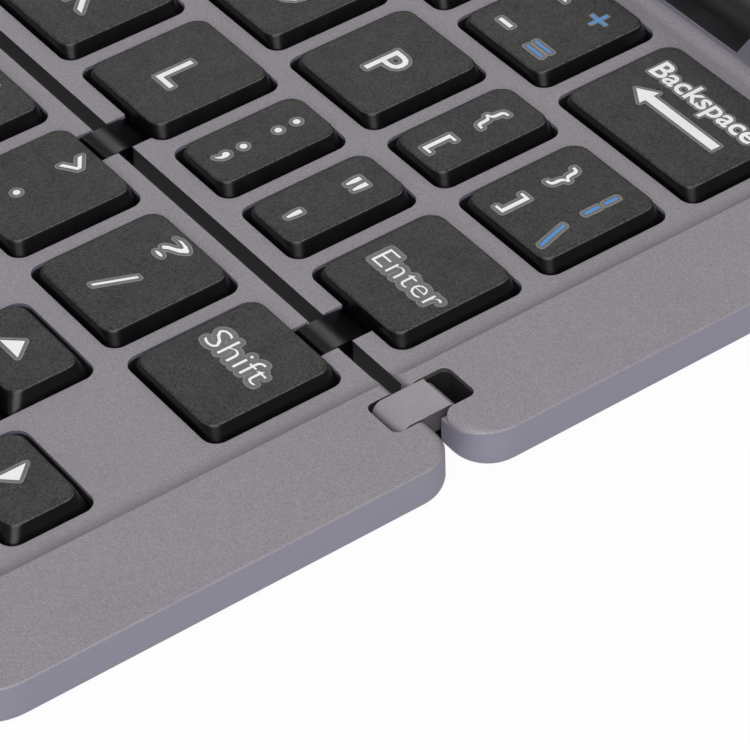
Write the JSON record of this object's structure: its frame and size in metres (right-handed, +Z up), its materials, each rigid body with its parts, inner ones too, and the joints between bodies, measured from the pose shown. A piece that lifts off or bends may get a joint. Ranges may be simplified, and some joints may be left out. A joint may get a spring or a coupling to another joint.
{
  "type": "folding keyboard",
  "caption": "Thin wireless keyboard that folds in half face to face on double-pin links, with a rear bar whose groove holds a tablet or phone upright.",
  "frame": {"origin": "on the table plane under the feet, at the middle of the open keyboard's footprint", "axes": "+X to the typist's right along the fold line, +Y away from the typist towards the rear bar, +Z up"},
  "size_m": [0.237, 0.1192, 0.0104],
  "materials": {
    "anodised_aluminium": "satin, fine bead-blasted and anodised",
    "link_aluminium": "satin, anodised",
    "keycap_plastic": "matte, finely textured",
    "rest_plastic": "matte, moulded",
    "link_plastic": "matte, moulded",
    "switch_plastic": "matte, moulded",
    "key_plate_steel": "rolled sheet",
    "pin_steel": "ground",
    "screw_steel": "zinc plated",
    "socket_steel": "nickel plated",
    "membrane_film": "printed polyester film",
    "dome_silicone": "matte silicone",
    "foot_rubber": "matte, moulded",
    "battery_foil": "aluminium laminate pouch",
    "board_laminate": "glass-epoxy laminate with solder mask",
    "cable_film": "polyimide film with copper tracks"
  },
  "bodies": {
    "rear_half": {"rear_shell": "anodised_aluminium", "rear_cover": "anodised_aluminium", "rear_key_plate": "key_plate_steel", "rear_membrane": "membrane_film", "rear_domes": "dome_silicone", "tablet_rest": "rest_plastic", "battery": "battery_foil", "circuit_board": "board_laminate", "charging_socket": "socket_steel", "rear_pins": "pin_steel", "rear_feet": "foot_rubber", "rear_screws": "screw_steel"},
    "fold_links": {"left_end_link": "link_aluminium", "right_end_link": "link_aluminium", "inner_links": "link_plastic", "flat_cable": "cable_film"},
    "front_half": {"front_shell": "anodised_aluminium", "front_cover": "anodised_aluminium", "front_key_plate": "key_plate_steel", "front_membrane": "membrane_film", "front_domes": "dome_silicone", "front_pins": "pin_steel", "front_feet": "foot_rubber", "front_screws": "screw_steel"},
    "switch_slider": {"power_switch": "switch_plastic"},
    "key_backquote": {"key_backquote": "keycap_plastic"},
    "keys_numbers": {"keys_numbers": "keycap_plastic"},
    "key_zero": {"key_zero": "keycap_plastic"},
    "key_minus": {"key_minus": "keycap_plastic"},
    "key_backspace": {"key_backspace": "keycap_plastic"},
    "key_tab": {"key_tab": "keycap_plastic"},
    "keys_upper_letters": {"keys_upper_letters": "keycap_plastic"},
    "key_o": {"key_o": "keycap_plastic"},
    "key_p": {"key_p": "keycap_plastic"},
    "key_open_bracket": {"key_open_bracket": "keycap_plastic"},
    "key_close_bracket": {"key_close_bracket": "keycap_plastic"},
    "key_caps_lock": {"key_caps_lock": "keycap_plastic"},
    "keys_home_letters": {"keys_home_letters": "keycap_plastic"},
    "key_k": {"key_k": "keycap_plastic"},
    "key_l": {"key_l": "keycap_plastic"},
    "key_semicolon": {"key_semicolon": "keycap_plastic"},
    "key_quote": {"key_quote": "keycap_plastic"},
    "key_enter": {"key_enter": "keycap_plastic"},
    "key_left_shift": {"key_left_shift": "keycap_plastic"},
    "keys_lower_letters": {"keys_lower_letters": "keycap_plastic"},
    "key_comma": {"key_comma": "keycap_plastic"},
    "key_period": {"key_period": "keycap_plastic"},
    "key_slash": {"key_slash": "keycap_plastic"},
    "key_right_shift": {"key_right_shift": "keycap_plastic"},
    "key_left_ctrl": {"key_left_ctrl": "keycap_plastic"},
    "key_fn": {"key_fn": "keycap_plastic"},
    "key_menu": {"key_menu": "keycap_plastic"},
    "key_left_alt": {"key_left_alt": "keycap_plastic"},
    "key_space": {"key_space": "keycap_plastic"},
    "key_right_alt": {"key_right_alt": "keycap_plastic"},
    "key_right_ctrl": {"key_right_ctrl": "keycap_plastic"},
    "key_arrow_left": {"key_arrow_left": "keycap_plastic"},
    "key_arrow_up": {"key_arrow_up": "keycap_plastic"},
    "key_arrow_right": {"key_arrow_right": "keycap_plastic"},
    "key_arrow_down": {"key_arrow_down": "keycap_plastic"}
  },
  "joints": [
    {"name": "fold_rear", "type": "hinge", "parent": "rear_half", "child": "fold_links", "pos_m": [0, -0.0062, 0.0034], "axis": [-1, 0, 0], "range_deg": [0, 90]},
    {"name": "fold_front", "type": "hinge", "parent": "fold_links", "child": "front_half", "pos_m": [0, -0.0103, 0.0034], "axis": [-1, 0, 0], "range_deg": [0, 90]},
    {"name": "power_slide", "type": "slide", "parent": "rear_half", "child": "switch_slider", "axis": [1, 0, 0], "range_m": [0, 0.002]},
    {"name": "key_backquote_press", "type": "slide", "parent": "rear_half", "child": "key_backquote", "axis": [0, 0, -1], "range_m": [0, 0.0012], "stiffness_N_per_m": 500, "deforming": ["rear_domes"]},
    {"name": "keys_numbers_press", "type": "slide", "parent": "rear_half", "child": "keys_numbers", "axis": [0, 0, -1], "range_m": [0, 0.0012], "stiffness_N_per_m": 4500, "deforming": ["rear_domes"]},
    {"name": "key_zero_press", "type": "slide", "parent": "rear_half", "child": "key_zero", "axis": [0, 0, -1], "range_m": [0, 0.0012], "stiffness_N_per_m": 500, "deforming": ["rear_domes"]},
    {"name": "key_minus_press", "type": "slide", "parent": "rear_half", "child": "key_minus", "axis": [0, 0, -1], "range_m": [0, 0.0012], "stiffness_N_per_m": 500, "deforming": ["rear_domes"]},
    {"name": "key_backspace_press", "type": "slide", "parent": "rear_half", "child": "key_backspace", "axis": [0, 0, -1], "range_m": [0, 0.0012], "stiffness_N_per_m": 500, "deforming": ["rear_domes"]},
    {"name": "key_tab_press", "type": "slide", "parent": "rear_half", "child": "key_tab", "axis": [0, 0, -1], "range_m": [0, 0.0012], "stiffness_N_per_m": 500, "deforming": ["rear_domes"]},
    {"name": "keys_upper_letters_press", "type": "slide", "parent": "rear_half", "child": "keys_upper_letters", "axis": [0, 0, -1], "range_m": [0, 0.0012], "stiffness_N_per_m": 4000, "deforming": ["rear_domes"]},
    {"name": "key_o_press", "type": "slide", "parent": "rear_half", "child": "key_o", "axis": [0, 0, -1], "range_m": [0, 0.0012], "stiffness_N_per_m": 500, "deforming": ["rear_domes"]},
    {"name": "key_p_press", "type": "slide", "parent": "rear_half", "child": "key_p", "axis": [0, 0, -1], "range_m": [0, 0.0012], "stiffness_N_per_m": 500, "deforming": ["rear_domes"]},
    {"name": "key_open_bracket_press", "type": "slide", "parent": "rear_half", "child": "key_open_bracket", "axis": [0, 0, -1], "range_m": [0, 0.0012], "stiffness_N_per_m": 500, "deforming": ["rear_domes"]},
    {"name": "key_close_bracket_press", "type": "slide", "parent": "rear_half", "child": "key_close_bracket", "axis": [0, 0, -1], "range_m": [0, 0.0012], "stiffness_N_per_m": 500, "deforming": ["rear_domes"]},
    {"name": "key_caps_lock_press", "type": "slide", "parent": "rear_half", "child": "key_caps_lock", "axis": [0, 0, -1], "range_m": [0, 0.0012], "stiffness_N_per_m": 500, "deforming": ["rear_domes"]},
    {"name": "keys_home_letters_press", "type": "slide", "parent": "rear_half", "child": "keys_home_letters", "axis": [0, 0, -1], "range_m": [0, 0.0012], "stiffness_N_per_m": 3500, "deforming": ["rear_domes"]},
    {"name": "key_k_press", "type": "slide", "parent": "rear_half", "child": "key_k", "axis": [0, 0, -1], "range_m": [0, 0.0012], "stiffness_N_per_m": 500, "deforming": ["rear_domes"]},
    {"name": "key_l_press", "type": "slide", "parent": "rear_half", "child": "key_l", "axis": [0, 0, -1], "range_m": [0, 0.0012], "stiffness_N_per_m": 500, "deforming": ["rear_domes"]},
    {"name": "key_semicolon_press", "type": "slide", "parent": "rear_half", "child": "key_semicolon", "axis": [0, 0, -1], "range_m": [0, 0.0012], "stiffness_N_per_m": 500, "deforming": ["rear_domes"]},
    {"name": "key_quote_press", "type": "slide", "parent": "rear_half", "child": "key_quote", "axis": [0, 0, -1], "range_m": [0, 0.0012], "stiffness_N_per_m": 500, "deforming": ["rear_domes"]},
    {"name": "key_enter_press", "type": "slide", "parent": "rear_half", "child": "key_enter", "axis": [0, 0, -1], "range_m": [0, 0.0012], "stiffness_N_per_m": 500, "deforming": ["rear_domes"]},
    {"name": "key_left_shift_press", "type": "slide", "parent": "front_half", "child": "key_left_shift", "axis": [0, 0, -1], "range_m": [0, 0.0012], "stiffness_N_per_m": 500, "deforming": ["front_domes"]},
    {"name": "keys_lower_letters_press", "type": "slide", "parent": "front_half", "child": "keys_lower_letters", "axis": [0, 0, -1], "range_m": [0, 0.0012], "stiffness_N_per_m": 3500, "deforming": ["front_domes"]},
    {"name": "key_comma_press", "type": "slide", "parent": "front_half", "child": "key_comma", "axis": [0, 0, -1], "range_m": [0, 0.0012], "stiffness_N_per_m": 500, "deforming": ["front_domes"]},
    {"name": "key_period_press", "type": "slide", "parent": "front_half", "child": "key_period", "axis": [0, 0, -1], "range_m": [0, 0.0012], "stiffness_N_per_m": 500, "deforming": ["front_domes"]},
    {"name": "key_slash_press", "type": "slide", "parent": "front_half", "child": "key_slash", "axis": [0, 0, -1], "range_m": [0, 0.0012], "stiffness_N_per_m": 500, "deforming": ["front_domes"]},
    {"name": "key_right_shift_press", "type": "slide", "parent": "front_half", "child": "key_right_shift", "axis": [0, 0, -1], "range_m": [0, 0.0012], "stiffness_N_per_m": 500, "deforming": ["front_domes"]},
    {"name": "key_left_ctrl_press", "type": "slide", "parent": "front_half", "child": "key_left_ctrl", "axis": [0, 0, -1], "range_m": [0, 0.0012], "stiffness_N_per_m": 500, "deforming": ["front_domes"]},
    {"name": "key_fn_press", "type": "slide", "parent": "front_half", "child": "key_fn", "axis": [0, 0, -1], "range_m": [0, 0.0012], "stiffness_N_per_m": 500, "deforming": ["front_domes"]},
    {"name": "key_menu_press", "type": "slide", "parent": "front_half", "child": "key_menu", "axis": [0, 0, -1], "range_m": [0, 0.0012], "stiffness_N_per_m": 500, "deforming": ["front_domes"]},
    {"name": "key_left_alt_press", "type": "slide", "parent": "front_half", "child": "key_left_alt", "axis": [0, 0, -1], "range_m": [0, 0.0012], "stiffness_N_per_m": 500, "deforming": ["front_domes"]},
    {"name": "key_space_press", "type": "slide", "parent": "front_half", "child": "key_space", "axis": [0, 0, -1], "range_m": [0, 0.0012], "stiffness_N_per_m": 500, "deforming": ["front_domes"]},
    {"name": "key_right_alt_press", "type": "slide", "parent": "front_half", "child": "key_right_alt", "axis": [0, 0, -1], "range_m": [0, 0.0012], "stiffness_N_per_m": 500, "deforming": ["front_domes"]},
    {"name": "key_right_ctrl_press", "type": "slide", "parent": "front_half", "child": "key_right_ctrl", "axis": [0, 0, -1], "range_m": [0, 0.0012], "stiffness_N_per_m": 500, "deforming": ["front_domes"]},
    {"name": "key_arrow_left_press", "type": "slide", "parent": "front_half", "child": "key_arrow_left", "axis": [0, 0, -1], "range_m": [0, 0.0012], "stiffness_N_per_m": 500, "deforming": ["front_domes"]},
    {"name": "key_arrow_up_press", "type": "slide", "parent": "front_half", "child": "key_arrow_up", "axis": [0, 0, -1], "range_m": [0, 0.0012], "stiffness_N_per_m": 500, "deforming": ["front_domes"]},
    {"name": "key_arrow_right_press", "type": "slide", "parent": "front_half", "child": "key_arrow_right", "axis": [0, 0, -1], "range_m": [0, 0.0012], "stiffness_N_per_m": 500, "deforming": ["front_domes"]},
    {"name": "key_arrow_down_press", "type": "slide", "parent": "front_half", "child": "key_arrow_down", "axis": [0, 0, -1], "range_m": [0, 0.0012], "stiffness_N_per_m": 500, "deforming": ["front_domes"]}
  ],
  "couplings": [
    {"joint": "fold_front", "follows": "fold_rear", "ratio": 1}
  ]
}
